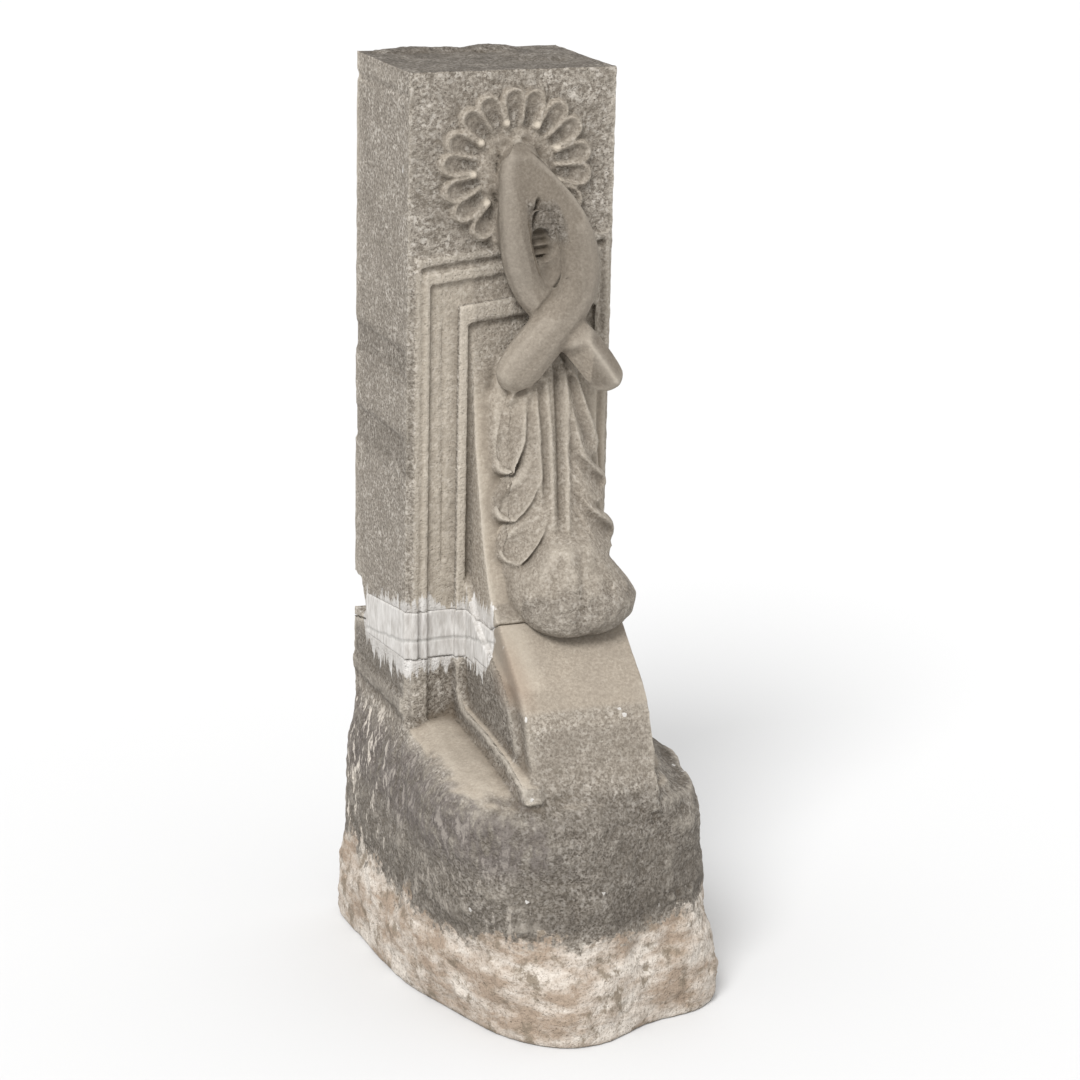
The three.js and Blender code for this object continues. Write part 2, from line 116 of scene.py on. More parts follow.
def read_points(piece):
    flat = np.empty(len(piece.data.vertices) * 3)
    piece.data.vertices.foreach_get("co", flat)
    return flat.reshape(-1, 3) * 1000 - CORNER


def write_points(piece, points):
    lowest = np.array(stone_box[0]) * 1000 - CORNER
    highest = np.array(stone_box[1]) * 1000 - CORNER
    kept = np.clip(points, lowest, highest)
    piece.data.vertices.foreach_set("co", ((kept + CORNER) / 1000).ravel())
    piece.data.update()


def read_facing(piece):
    flat = np.empty(len(piece.data.vertices) * 3)
    piece.data.vertex_normals.foreach_get("vector", flat)
    return flat.reshape(-1, 3)


def relax(piece, points, amount, rounds):
    pairs = np.empty(len(piece.data.edges) * 2, int)
    piece.data.edges.foreach_get("vertices", pairs)
    a, b = pairs.reshape(-1, 2).T
    count = len(points)
    near = np.bincount(a, minlength=count) + np.bincount(b, minlength=count)
    for _ in range(rounds):
        for k in range(3):
            total = np.bincount(a, points[b, k], count) + np.bincount(b, points[a, k], count)
            points[:, k] += amount * (total / near - points[:, k])


def grit(points, size, seed):
    cell = points / size + seed * 7.31
    base = np.floor(cell).astype(np.int64)
    part = cell - base
    part = part * part * (3 - 2 * part)
    total = np.zeros(len(points))
    for corner in np.ndindex(2, 2, 2):
        key = base + corner
        mixed = key[:, 0] * 73856093 ^ key[:, 1] * 19349663 ^ key[:, 2] * 83492791
        mixed = (mixed ^ (mixed >> 13)) * 1274126177 & 0xFFFFFFFF
        share = np.prod(np.where(corner, part, 1 - part), axis=1)
        total += share * (mixed ^ (mixed >> 16)) / 0xFFFFFFFF
    return total * 2 - 1


def rise(value, start, end):
    share = np.clip((value - start) / (end - start), 0, 1)
    return share * share * (3 - 2 * share)


def thin(piece, plain):
    piece.data.calc_loop_triangles()
    share = MOST_TRIANGLES / len(piece.data.loop_triangles)
    if share < 1:
        group = piece.vertex_groups.new(name="plain")
        for weight in (0.05, 1.0):
            chosen = np.flatnonzero(plain if weight == 1.0 else ~plain)
            group.add(chosen.tolist(), weight, "REPLACE")
        fewer = piece.modifiers.new("fewer", "DECIMATE")
        fewer.ratio = share
        fewer.vertex_group = "plain"
        fewer.vertex_group_factor = 1.0
        settle(piece)
        piece.vertex_groups.clear()


def finish_mesh(piece, material):
    for face in piece.data.polygons:
        face.use_smooth = True
    piece.data.set_sharp_from_angle(angle=math.radians(55))
    piece.data.materials.clear()
    piece.data.materials.append(material)


def mark(piece, **paints):
    for name, values in paints.items():
        layer = piece.data.attributes.new(name, "FLOAT", "POINT")
        layer.data.foreach_set("value", np.clip(values, 0, 1).astype(np.float32))


def mark_depth(piece, points, grimy=1.0, crest_highlight=1.0):
    """Marks where grime gathers in hollows, and the crests that are given a painted highlight."""
    smoothed = points.copy()
    facing = read_facing(piece)
    sunk = np.zeros(len(points))
    crest = np.zeros(len(points))
    for rounds, reach in ((14, 2.2), (40, 5.0)):
        relax(piece, smoothed, 0.5, rounds)
        level = ((smoothed - points) * facing).sum(axis=1)
        level = np.stack([level, level, level], axis=1)
        relax(piece, level, 0.5, 2)
        sunk = np.maximum(sunk, level[:, 0] / reach)
        crest = np.maximum(crest, -level[:, 0] / reach)
    mark(piece, hollow=sunk * grimy, crest=crest * crest_highlight)


TAIL_TOP = {"full": 290, "none": 330}
CONSOLE_LEFT, CONSOLE_RIGHT = 76, 243
LIME = {"level": 109, "climb": 19, "fade": 90}
FILM = {"reach": 7, "fade": 40, "fleck": 1.5, "fleck_edge": 3.6}
PLASTER_RUN = [-95, -75, -57, -32, -6, 0, 37, 94, 152]
PLASTER_TOP = [464, 463, 449, 459, 464, 462, 451, 438, 430]
PLASTER_FOOT = [450, 398, 385, 390, 383, 381, 380, 371, 376]
FLECKS = [
    (75, 64, 1100), (139, 103, 1100), (0, 40, 1020), (0, 22, 985), (82, -194, 375), (73, -241, 293),
    (199, -194, 375), (205, -197, 368), (271, -182, 283), (306, -120, 266), (309, -141, 266),
    (63, -259, 174), (236, -249, 144), (152, -276, 181), (7, -202, 162), (12, -207, 151),
]


def plaster_film(points):
    """How far inside the brushed film a point lies: half at its ragged edge."""
    x, y, z = points.T
    run = np.where(x < 5, y, -x)
    top = np.interp(run, PLASTER_RUN, PLASTER_TOP)
    foot = np.interp(run, PLASTER_RUN, PLASTER_FOOT)
    inside = 0.5 + (np.minimum(z - foot, top - z) + FILM["reach"]) / FILM["fade"]
    film = inside - rise(x, 84, 92) - rise(y, 148, 158) - rise(-y, 78, 100)
    flecks = [np.linalg.norm(points - fleck, axis=1) for fleck in FLECKS]
    return np.maximum(film, 1 - rise(np.minimum.reduce(flecks), FILM["fleck"], FILM["fleck_edge"]))


def lime_line_at(x):
    return LIME["level"] + LIME["climb"] * rise(x, -10, 100)


def roughen(piece, points, rough, worn, where):
    """Grains the surface, less where it is worn and not at all under the plaster."""
    bare = 1 - rise(plaster_film(points), 0.45, 0.6)
    points += read_facing(piece) * ((rough * (1 - 0.85 * worn) - 0.35) * where * bare)[:, None]
    write_points(piece, points)


lower = recut("lower_stone", "lower_stone_dressed", TAIL_GRAIN)
points = read_points(lower)
x, y, z = points.T
tail_part = rise(-z, -TAIL_TOP["none"], -TAIL_TOP["full"])
relax(lower, points, 0.5 * tail_part, 10)
facing = read_facing(lower)
x, y, z = points.T
lime_line = lime_line_at(x)
crusted = 1 - rise(z, lime_line - 12, lime_line + 8)
lumps = grit(points, 46, 3) * 2.2 + grit(points, 21, 4) * 1.5
crust = (1 - 2 * np.abs(grit(points, 24, 13))) * 1.6 + (1 - 2 * np.abs(grit(points, 11, 14))) * 1.3
tooled = grit(points * (0.35, 0.35, 1), 8, 15) * 1.1 + grit(points, 9, 5) * 0.8
off_floor = rise(z, 2, 20)
off_back = 1 - rise(y, SHAFT_DEPTH - 9, SHAFT_DEPTH - 3)
deep = lumps + crusted * crust + (1 - crusted) * tooled - 0.8
points += facing * (deep * tail_part * off_floor * off_back)[:, None]
write_points(lower, points)
thin(lower, points[:, 1] > 60)
points = read_points(lower)
x, y, z = points.T
facing = read_facing(lower)
on_console = (x > CONSOLE_LEFT) & (x < CONSOLE_RIGHT) & (y < -3)
console_skin = rise(z, 372, 384) * on_console
ledges = rise(facing[:, 2], 0.75, 0.92) * rise(z, 270, 284)
worn = np.maximum.reduce([console_skin, ledges, 0.35 * on_console * rise(z, 280, 310)])
rough = grit(points, 4.5, 6) * 0.6 + grit(points, 8, 7) * 0.55
roughen(lower, points, rough, worn, rise(z, 1, 14))

left_flank = rise(-facing[:, 0], 0.2, 0.7) * (z < 330)
lime_line = lime_line_at(x)
lime = 0.5 + (lime_line - z) / LIME["fade"]
near_line = 1 - rise(z, lime_line, lime_line + 70)
over_lime = rise(z, lime_line - 15, lime_line + 15) * (1 - rise(z, 262, 318))
shaft_side = rise(-facing[:, 0], 0.3, 0.7) * rise(z, 300, 330)
under_sweep = (y < -60) * (x > CONSOLE_LEFT) * rise(z, 215, 240) * (1 - rise(z, 352, 366))
soot = (0.66 + 0.22 * near_line) * over_lime * (1 - worn)
soot = np.maximum.reduce([soot, 0.62 * shaft_side, 0.3 * under_sweep, 0.12 * console_skin])
bloom = left_flank * rise(z, 95, 130) * (1 - rise(z, 290, 335)) * (0.35 + 0.65 * rise(y, -60, 120))
bruise = rise(-facing[:, 0], 0.0, 0.6) * rise(z, 185, 225) * (1 - rise(z, 275, 310)) * (1 - worn)
stain = (1 - rise(np.hypot(x - 81, (y + 165) / 3), 5, 26)) * rise(z, 366, 400)
at_joint = rise(z, 396, 404) * (x > 66) * (y < -2)
pale = np.maximum(0.12 * ledges, 0.55 * at_joint * (1 - rise(x, 100, 125)))
mark(lower, worn=worn, lime=lime, soot=soot, bloom=bloom, bruise=bruise, stain=stain, pale=pale)
mark(lower, film=plaster_film(points))
grimy = (1 - at_joint) * (1 - 0.4 * rise(z, 320, 340))
# The painted highlight on the crests is kept off the joint and halved on the console.
mark_depth(lower, points, grimy, (1 - at_joint) * (1 - 0.5 * on_console))


ROOM_SHADE = 0.84
SOOT_AND_SHADE_VEIL = (0.26, 0.25, 0.245, 1.0)
FILLER_DARK, FILLER_PALE = (172, 167, 161), (214, 211, 207)
STONE_GLOSS = 0.25


class Bench:
    """A material's nodes, laid out and joined one after the other."""

    def __init__(self, name):
        self.material = bpy.data.materials.new(name)
        self.material.use_nodes = True
        self.tree = self.material.node_tree
        self.shader = self.tree.nodes["Principled BSDF"]
        self.place = self.add("ShaderNodeTexCoord").outputs["Object"]

    def add(self, kind, **settings):
        made = self.tree.nodes.new(kind)
        for key, value in settings.items():
            setattr(made, key, value)
        return made

    def join(self, source, target):
        if isinstance(source, (int, float, tuple)):
            target.default_value = source
        else:
            self.tree.links.new(source, target)

    def stretched(self, scale):
        made = self.add("ShaderNodeMapping")
        made.inputs["Scale"].default_value = scale
        self.join(self.place, made.inputs["Vector"])
        return made.outputs["Vector"]

    def noise(self, size, detail=3, rough=0.6, at=None):
        made = self.add("ShaderNodeTexNoise")
        made.inputs["Scale"].default_value = 1000 / size
        made.inputs["Detail"].default_value = detail
        made.inputs["Roughness"].default_value = rough
        self.join(at or self.place, made.inputs["Vector"])
        return made.outputs["Fac"]

    def pits(self, size):
        made = self.add("ShaderNodeTexVoronoi")
        made.inputs["Scale"].default_value = 1000 / size
        self.join(self.place, made.inputs["Vector"])
        return made.outputs["Distance"]

    def spread(self, source, start, end, first=0.0, last=1.0):
        made = self.add("ShaderNodeMapRange")
        made.inputs["From Min"].default_value = start
        made.inputs["From Max"].default_value = end
        made.inputs["To Min"].default_value = first
        made.inputs["To Max"].default_value = last
        self.join(source, made.inputs["Value"])
        return made.outputs["Result"]

    def sum(self, operation, a, b):
        made = self.add("ShaderNodeMath", operation=operation)
        self.join(a, made.inputs[0])
        self.join(b, made.inputs[1])
        return made.outputs[0]

    def mix(self, share, a, b, blend="MIX"):
        made = self.add("ShaderNodeMix", data_type="RGBA", blend_type=blend)
        self.join(share, made.inputs["Factor"])
        self.join(a, made.inputs["A"])
        self.join(b, made.inputs["B"])
        return made.outputs["Result"]

    def painted(self, name):
        return self.add("ShaderNodeAttribute", attribute_name=name).outputs["Fac"]

    def dent(self, height, depth, under=None):
        made = self.add("ShaderNodeBump")
        made.inputs["Distance"].default_value = depth / 1000
        self.join(height, made.inputs["Height"])
        if under is not None:
            self.join(under, made.inputs["Normal"])
        return made.outputs["Normal"]


def tint(red, green, blue):
    """A colour given as it looks in the room, made the finish's own."""
    return tuple((c / 255) ** 2.2 * ROOM_SHADE for c in (red, green, blue)) + (1.0,)


def stone_colours(bench):
    """Speckled grey-brown stone, smoother and warmer where it is worn, darkened with sooty grime
    and painted shade, grimy in the hollows, with a painted highlight on the crests."""
    fine = bench.noise(3.4, 2, 0.7)
    coarse = bench.noise(9, 3, 0.6)
    cloud = bench.noise(80, 3, 0.55)
    mottle = bench.noise(24, 3, 0.6)
    grains = bench.pits(5)
    crystals = bench.noise(5, 1, 0.5)
    worn = bench.painted("worn")
    granular = bench.mix(bench.spread(fine, 0.38, 0.62), tint(108, 100, 90), tint(177, 169, 158))
    granular = bench.mix(bench.spread(crystals, 0.54, 0.68, 0, 0.75), granular, tint(206, 199, 189))
    granular = bench.mix(bench.spread(coarse, 0.5, 0.68, 0, 0.5), granular, tint(112, 105, 95))
    granular = bench.mix(bench.spread(grains, 0.04, 0.26, 0.6, 0), granular, tint(84, 76, 67))
    granular = bench.mix(bench.spread(mottle, 0.42, 0.6, 0, 0.32), granular, tint(106, 98, 88))
    smooth = bench.mix(bench.spread(fine, 0.34, 0.66), tint(150, 139, 125), tint(174, 163, 148))
    smooth = bench.mix(bench.spread(crystals, 0.6, 0.72, 0, 0.35), smooth, tint(196, 186, 171))
    smooth = bench.mix(bench.spread(coarse, 0.5, 0.7, 0, 0.3), smooth, tint(136, 126, 113))
    skin = bench.mix(worn, granular, smooth)
    clouded = bench.mix(bench.spread(cloud, 0.35, 0.65, 0, 0.3), skin, tint(138, 130, 119))
    paled = bench.mix(bench.spread(bench.painted("pale"), 0, 1, 0, 0.8), clouded, tint(196, 185, 169))
    # Sooty grime, and on the upper stone also painted shade (top face, left-face bands, eye).
    soot_share = bench.spread(bench.painted("soot"), 0, 1, 0, 0.8)
    sooted = bench.mix(soot_share, paled, SOOT_AND_SHADE_VEIL, "MULTIPLY")
    grimed = bench.mix(bench.spread(bench.painted("hollow"), 0.05, 1, 0, 0.75), sooted, tint(84, 75, 64))
    # Painted highlight: the crests are mixed toward a pale tint.
    crest_highlight = bench.mix(bench.spread(bench.painted("crest"), 0.05, 1, 0, 0.6), grimed, tint(208, 199, 185))
    return crest_highlight, fine, coarse, grains, worn


def plaster_smear(bench, colour):
    """The film of plaster that the brush left, ragged at its edge, over a colour."""
    brush = bench.noise(9, 3, 0.6, bench.stretched((1, 1, 0.22)))
    ragged = bench.sum("ADD", bench.painted("film"), bench.spread(brush, 0, 1, -0.9, 0.9))
    filler = bench.mix(bench.spread(brush, 0.3, 0.7), tint(*FILLER_DARK), tint(*FILLER_PALE))
    return bench.mix(bench.spread(ragged, 0.46, 0.58, 0, 0.94), colour, filler)


def stone_dents(bench, fine, coarse, grains, worn):
    """The open grain of the stone, a quarter as deep where it is worn smooth."""
    keen = bench.spread(worn, 0, 1, 1.0, 0.25)
    shallow = bench.sum("MULTIPLY", bench.spread(fine, 0.25, 0.75), keen)
    first = bench.dent(shallow, 1.0)
    holes = bench.sum("MULTIPLY", bench.spread(grains, 0.0, 0.3), keen)
    second = bench.dent(holes, 0.85, first)
    return bench.dent(bench.sum("MULTIPLY", coarse, keen), 2.0, second)


def stone_surface(bench, colour, fine, coarse, grains, worn):
    bench.join(plaster_smear(bench, colour), bench.shader.inputs["Base Color"])
    bench.join(stone_dents(bench, fine, coarse, grains, worn), bench.shader.inputs["Normal"])
    bench.join(bench.spread(fine, 0.2, 0.8, 0.86, 0.98), bench.shader.inputs["Roughness"])
    bench.shader.inputs["Specular IOR Level"].default_value = STONE_GLOSS


tail_finish = Bench("rough_stone")
colour, fine, coarse, grains, worn_paint = stone_colours(tail_finish)
strokes = tail_finish.noise(15, 4, 0.7, tail_finish.stretched((1, 1, 0.4)))
bruised_share = tail_finish.sum(
    "MULTIPLY", tail_finish.painted("bruise"), tail_finish.spread(strokes, 0.4, 0.6)
)
bruised = tail_finish.mix(bruised_share, colour, tint(92, 85, 83))
bloom_share = tail_finish.sum(
    "MULTIPLY", tail_finish.painted("bloom"), tail_finish.spread(strokes, 0.54, 0.62)
)
bloomed = tail_finish.mix(bloom_share, bruised, tint(205, 196, 184))
stain_share = tail_finish.spread(tail_finish.painted("stain"), 0, 1, 0, 0.3)
stained = tail_finish.mix(stain_share, bloomed, tint(138, 112, 92))
lime_wander = tail_finish.spread(tail_finish.noise(52, 5, 0.65), 0, 1, -0.8, 0.8)
lime_fray = tail_finish.spread(tail_finish.noise(9, 4, 0.7), 0, 1, -0.35, 0.35)
lime_share = tail_finish.sum("ADD", tail_finish.painted("lime"), lime_wander)
lime_share = tail_finish.sum("ADD", lime_share, lime_fray)
bands = tail_finish.noise(34, 4, 0.65, tail_finish.stretched((0.5, 0.5, 1.2)))
patches = tail_finish.noise(26, 5, 0.7)
banded = tail_finish.mix(tail_finish.spread(bands, 0.4, 0.6), tint(164, 146, 129), tint(216, 207, 196))
patched = tail_finish.mix(tail_finish.spread(patches, 0.53, 0.62, 0, 0.85), banded, tint(128, 116, 100))
lime_colour = tail_finish.mix(tail_finish.spread(fine, 0.52, 0.64, 0, 0.5), patched, tint(118, 104, 88))
limed = tail_finish.mix(tail_finish.spread(lime_share, 0.46, 0.56, 0, 0.92), stained, lime_colour)
grime_share = tail_finish.spread(tail_finish.painted("hollow"), 0.2, 1, 0, 0.45)
grimed = tail_finish.mix(grime_share, limed, tint(104, 92, 78))
stone_surface(tail_finish, grimed, fine, coarse, grains, worn_paint)
finish_mesh(lower, tail_finish.material)
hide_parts("lower_stone")
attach(lower, "root")

# The upper stone: the shaft with its sunk bands, stepped frame, shell rosette,
# knotted ribbon and hanging leaf, all cut from one block with point and chisel.
SHAFT_GRAIN = 0.0022
RIBBON_PATHS = [
    [(131, 1012, 5), (126, 992, 18), (123, 958, 19), (122, 918, 18), (127, 876, 19),
     (143, 843, 21), (168, 816, 22), (192, 790, 23), (211, 764, 23), (226, 742, 21), (232, 731, 8)],
    [(130, 1015, 6), (133, 992, 23), (139, 966, 33), (144, 940, 26)],
    [(131, 1010, 5), (142, 990, 16), (161, 964, 20), (184, 932, 23), (198, 894, 25),
     (198, 857, 25), (181, 825, 25), (157, 796, 27), (135, 765, 28), (122, 742, 25), (117, 727, 10)],
]


def follow(points, path):
    """The way to a path of (x, z, half width) drawn on the front: the distance in half
    widths, how far down the path it is met, from 0 to 1, and which side it lies on."""
    nearest, reached, side = np.full(len(points), 9.0), np.zeros(len(points)), np.zeros(len(points))
    for k, ((ax, az, ar), (bx, bz, br)) in enumerate(zip(path, path[1:])):
        ux, uz = bx - ax, bz - az
        share = ((points[:, 0] - ax) * ux + (points[:, 2] - az) * uz) / (ux * ux + uz * uz)
        share = np.clip(share, 0, 1)
        wide, tall = points[:, 0] - ax - share * ux, points[:, 2] - az - share * uz
        half = ar + share * (br - ar)
        gap = np.hypot(wide, tall) / half
        closer = gap < nearest
        reached = np.where(closer, (k + share) / (len(path) - 1), reached)
        side = np.where(closer, (ux * tall - uz * wide) / math.hypot(ux, uz) / half, side)
        nearest = np.minimum(nearest, gap)
    return nearest, reached, side


def nearness(points, path):
    return follow(points, path)[0]


ROSE = {"x": 131, "z": 986, "ground": 46, "petal": 81, "lobe": 14.5, "proud": 9}
BEAD = {"out": 8, "radius": 6, "proud": 11}
SCOOP_DEPTHS = [8, 9, 5]
PETAL_PAIRS = [math.radians(-39.6 + 41.2 * k) for k in range(8)]
LOBE_TURN = math.radians(9.2)
HALF_STEP = math.radians(20.6)
WEB_PATH = [(131, 1013, 8), (134, 992, 25), (141, 966, 37), (148, 944, 40), (150, 915, 40)]
HEAD_HEIGHTS = [925, 960, 1000, 1016]
HEAD_FLAT = [45, 33, 23, 10]
EYE_FILL = [(148, 958, 20), (157, 925, 25), (163, 893, 23), (164, 868, 21), (166, 850, 20), (160, 834, 13)]
EYE_HOLE = [(151, 907, 11.5), (154, 892, 11.5)]
EYE_FLOOR = {"depth": 32, "from": 958, "fall": 0.1}
POCKET = {"x": 160, "z": 868, "wide": 13, "tall": 17, "depth": 4}
BARS = {"front": 24, "depth": 3, "slope": 0.1, "turn": 0.6}
EYE_SLIT = [(150, 956, 3.5), (144, 934, 4.5), (139, 912, 5.5)]
CROSSING = [(183, 880, 2.5), (180, 864, 3.5), (167, 848, 3.5), (150, 833, 3.5), (137, 814, 3.5)]
BREAK_AT = [-150, -117, -100, -84, -62, 195]
BREAK_HEIGHTS = [424, 446, 461, 452, 440, 391]
CONSOLE_FALL = [(806, 0), (712, 8), (653, 18), (596, 33), (552, 45), (515, 60), (482, 76)]
LEAF_SWELL = [(800, 6), (770, 20), (715, 29), (659, 37), (597, 46), (560, 54), (500, 60)]
LEAF_HALF = [(792, 12), (765, 26), (725, 34), (675, 40), (625, 44), (580, 50), (545, 58), (500, 66)]
LEAF_AXIS = 165
LEAF_REACH = {"left": 70, "right": 84}
LOBE_SCOOP, LOBE_RIM = 9, 3.5
LEFT_LOBES = [
    [(147, 600, 8), (136, 580, 12), (122, 560, 15), (111, 545, 15), (107, 536, 12)],
    [(147, 652, 8), (136, 630, 12), (122, 609, 15), (111, 593, 15), (107, 583, 12)],
    [(128, 775, 9), (122, 742, 16), (119, 710, 19), (116, 671, 18), (112, 648, 14), (110, 636, 11)],
]
RIGHT_HOLLOWS = [
    [(184, 612, 5), (196, 588, 9), (212, 568, 12), (229, 555, 12), (240, 549, 9)],
    [(184, 668, 5), (197, 643, 9), (212, 625, 11), (226, 613, 11), (234, 607, 8)],
    [(194, 760, 5), (199, 728, 8), (205, 695, 9), (212, 668, 8), (217, 652, 6)],
]
RIGHT_SEAMS = [
    [(181, 600, 4), (190, 574, 4.5), (202, 552, 4.5), (214, 538, 4)],
    [(182, 655, 4), (192, 628, 4.5), (204, 606, 4.5), (219, 594, 4)],
]
MID_GROOVE = [(177, 772, 4), (177, 706, 5.5), (173, 650, 5.5), (167, 600, 5), (161, 552, 4)]
MID_RIDGES = [
    [(161, 772, 4), (163, 720, 5), (163, 680, 5), (160, 640, 5), (155, 592, 5), (149, 546, 4)],
    [(188, 765, 4), (188, 715, 5), (185, 670, 5), (180, 625, 5), (173, 580, 5), (168, 546, 4)],
    [(147, 755, 3.5), (149, 704, 4), (149, 669, 4), (146, 628, 4), (141, 586, 3.5)],
]
MID_FLUTE = [(155, 745, 3), (156, 690, 4.5), (154, 640, 4.5), (148, 590, 4)]
TIP_VEINS = [
    [(150, 566, 3), (138, 543, 4), (125, 519, 4.5), (115, 494, 4.5), (110, 476, 4)],
    [(160, 556, 3), (153, 530, 4), (147, 505, 4)],
    [(183, 548, 3), (178, 503, 3.5), (175, 462, 3.5)],
    [(196, 560, 3), (215, 535, 4), (234, 508, 4), (246, 486, 4)],
]
TIP_FLUTES = [
    [(143, 565, 3), (128, 538, 6), (115, 508, 6), (107, 480, 5)],
    [(156, 556, 3), (145, 528, 7), (134, 500, 7)],
    [(175, 548, 3), (170, 503, 4), (167, 462, 4)],
    [(190, 548, 4), (201, 520, 8), (214, 492, 8)],
]
TIP_LIP = [(108, 470, 7), (120, 488, 9), (140, 500, 10), (160, 503, 8)]
TIP_LIP_RIGHT = [(186, 506, 8), (208, 506, 10), (232, 498, 9), (250, 488, 7)]
INCISED_LINE = [(44, 842, 2.4), (46, 470, 2.4)]
SLIT_DEPTH, CROSSING_DEPTH, LINE_DEPTH = 6, 2.5, 1.8
RIDGE_PROUD, VEIN_PROUD = 4, 2
GROOVE_DEPTH, FLUTE_DEPTH, HOLLOW_DEPTH, SEAM_DEPTH = 9, 4, 5, 3.5
TIP_FLUTE_DEPTH, LIP_DEPTH = 2.6, 3
ROOF = {"from": (186, 800), "to": (232, 731), "near": (44, 68), "depth": 25, "half": 23, "ridge": 0.2}


def carve(points, where, path, depth, flat=0.25):
    near, reached, _ = follow(points, path)
    fade = rise(reached, 0, 0.15) * (1 - rise(reached, 0.82, 1))
    points[:, 1] += where * depth * fade * (1 - rise(near, flat, 1))


def read_rows(value, rows):
    return np.interp(value, [r[0] for r in rows][::-1], [r[1] for r in rows][::-1])


def rosette_height(points):
    """Eight pairs of scooped lobes with a bead between each pair, round a pecked ground:
    the height, how deep in a scoop a point lies, and which points are on a bead."""
    dx, dz = points[:, 0] - ROSE["x"], points[:, 2] - ROSE["z"]
    radius, bearing = np.hypot(dx, dz), np.arctan2(dz, dx)
    height = np.zeros(len(points))
    scoop = np.zeros(len(points))
    beads = np.zeros(len(points))
    inner, outer, size = ROSE["ground"], ROSE["petal"], ROSE["lobe"]
    for middle in PETAL_PAIRS:
        away = (bearing - middle + math.pi) % (2 * math.pi) - math.pi
        fan = (1 - rise(np.abs(away), HALF_STEP * 0.98, HALF_STEP * 1.02)) * (radius < outer)
        height = np.maximum(height, fan)
        for side in (-1, 1):
            turn_by = middle + side * LOBE_TURN
            ux, uz = math.cos(turn_by), math.sin(turn_by)
            along, beside = dx * ux + dz * uz, dz * ux - dx * uz
            lobe = 1 - rise(np.hypot(along - outer, beside), size - 3, size + 3)
            height = np.maximum(height, lobe)
            stations = [(inner + 4, 6), (inner + 18, 10), (outer - 2, 13.2)]
            path = [(ROSE["x"] + r * ux, ROSE["z"] + r * uz, w) for r, w in stations]
            near, reached, _ = follow(points, path)
            depth = np.interp(reached, [0, 0.5, 1], SCOOP_DEPTHS)
            scoop = np.maximum(scoop, depth * (1 - rise(near, 0.4, 1.04)))
        bead_x = ROSE["x"] + (inner + BEAD["out"]) * math.cos(middle + HALF_STEP)
        bead_z = ROSE["z"] + (inner + BEAD["out"]) * math.sin(middle + HALF_STEP)
        gap = np.hypot(points[:, 0] - bead_x, points[:, 2] - bead_z) / BEAD["radius"]
        beads = np.maximum(beads, np.sqrt(np.clip(1 - gap * gap, 0, 1)))
    height = height * rise(radius, inner - 6, inner + 16) * ROSE["proud"]
    ground = (1 - rise(radius, inner - 10, inner + 16)) * (2.5 + 1.8 * grit(points, 7, 31))
    carved = np.maximum.reduce([height - scoop, ground, beads * BEAD["proud"]])
    return carved, scoop / max(SCOOP_DEPTHS), beads


def leaf_front_at(points):
    """How far forward the leaf stands, over the console behind it."""
    x, y, z = points.T
    console = read_rows(z, CONSOLE_FALL)
    swell = read_rows(z, LEAF_SWELL)
    reach = np.where(x < LEAF_AXIS, LEAF_REACH["left"], LEAF_REACH["right"])
    away = np.clip(np.abs(x - LEAF_AXIS) / reach, 0, 1)
    cover = swell * (1 - away ** 2)
    half = read_rows(z, LEAF_HALF)
    height = cover * (1 - rise(np.abs(x - LEAF_AXIS) / half, 0.8, 1.15)) * (1 - rise(z, 770, 800))
    for path in LEFT_LOBES:
        near, reached, side = follow(points, path)
        scoop = LOBE_SCOOP * (1 - rise(near, 0.1, 0.98)) * rise(reached, 0.1, 0.7)
        rim_side = np.maximum(rise(side, -0.4, 0.3), rise(reached, 0.9, 1))
        rim = LOBE_RIM * np.exp(-((near - 0.8) / 0.2) ** 2) * rise(reached, 0.1, 0.5) * rim_side
        blade = np.hypot(cover, 8) + 4 * rise(reached, 0, 0.5) - scoop + rim
        laid = (1 - rise(near, 0.84, 1.12)) * rise(reached, 0.0, 0.35)
        cut = 5 * rise(reached, 0.5, 0.8) * np.exp(-((near - 1.14) / 0.12) ** 2)
        height = height * (1 - laid) + blade * laid - cut
    return console + np.maximum(height, 0)


upper = recut("upper_stone", "upper_stone_carved", SHAFT_GRAIN)
points = read_points(upper)
x, y, z = points.T
ribbon = np.minimum.reduce([nearness(points, path) for path in RIBBON_PATHS])
round_work = (y < -1.5) & (z > 700) & (ribbon < 1.15)
leaf_zone = (y < -6) & (z < 812) & (x > 84) & ~round_work
relax(upper, points, 0.5 * round_work, 8)
relax(upper, points, 0.5 * leaf_zone, 4)
relax(upper, points, np.full(len(points), 0.35), 1)
x, y, z = points.T

rose_span = np.hypot(x - ROSE["x"], z - ROSE["z"])
petal_zone = (1 - rise(rose_span, 98, 106)) * (y < 3) * (y > -14) * (ribbon > 1.03)
points[:, 1] = y + petal_zone * (-rosette_height(points)[0] - y)
web = nearness(points, WEB_PATH)
web_front = -(28 + (1000 - z) * 0.11) * np.sqrt(np.clip(1 - web ** 3, 0, 1)) * rise(z, 940, 958)
points[:, 1] = np.where((web < 1) & (y < 2), np.minimum(points[:, 1], web_front), points[:, 1])
head_front = -np.interp(z, HEAD_HEIGHTS, HEAD_FLAT)
in_head = (z > 925) & ((ribbon < 1.1) | (web < 1.1))
points[:, 1] = np.where(in_head, np.maximum(points[:, 1], head_front), points[:, 1])
fill = nearness(points, EYE_FILL)
hole = nearness(points, EYE_HOLE)
in_pocket = 1 - rise(np.hypot((x - POCKET["x"]) / POCKET["wide"], (z - POCKET["z"]) / POCKET["tall"]), 0.3, 1)
fill_front = -(EYE_FLOOR["depth"] + (EYE_FLOOR["from"] - z) * EYE_FLOOR["fall"] - POCKET["depth"] * in_pocket)
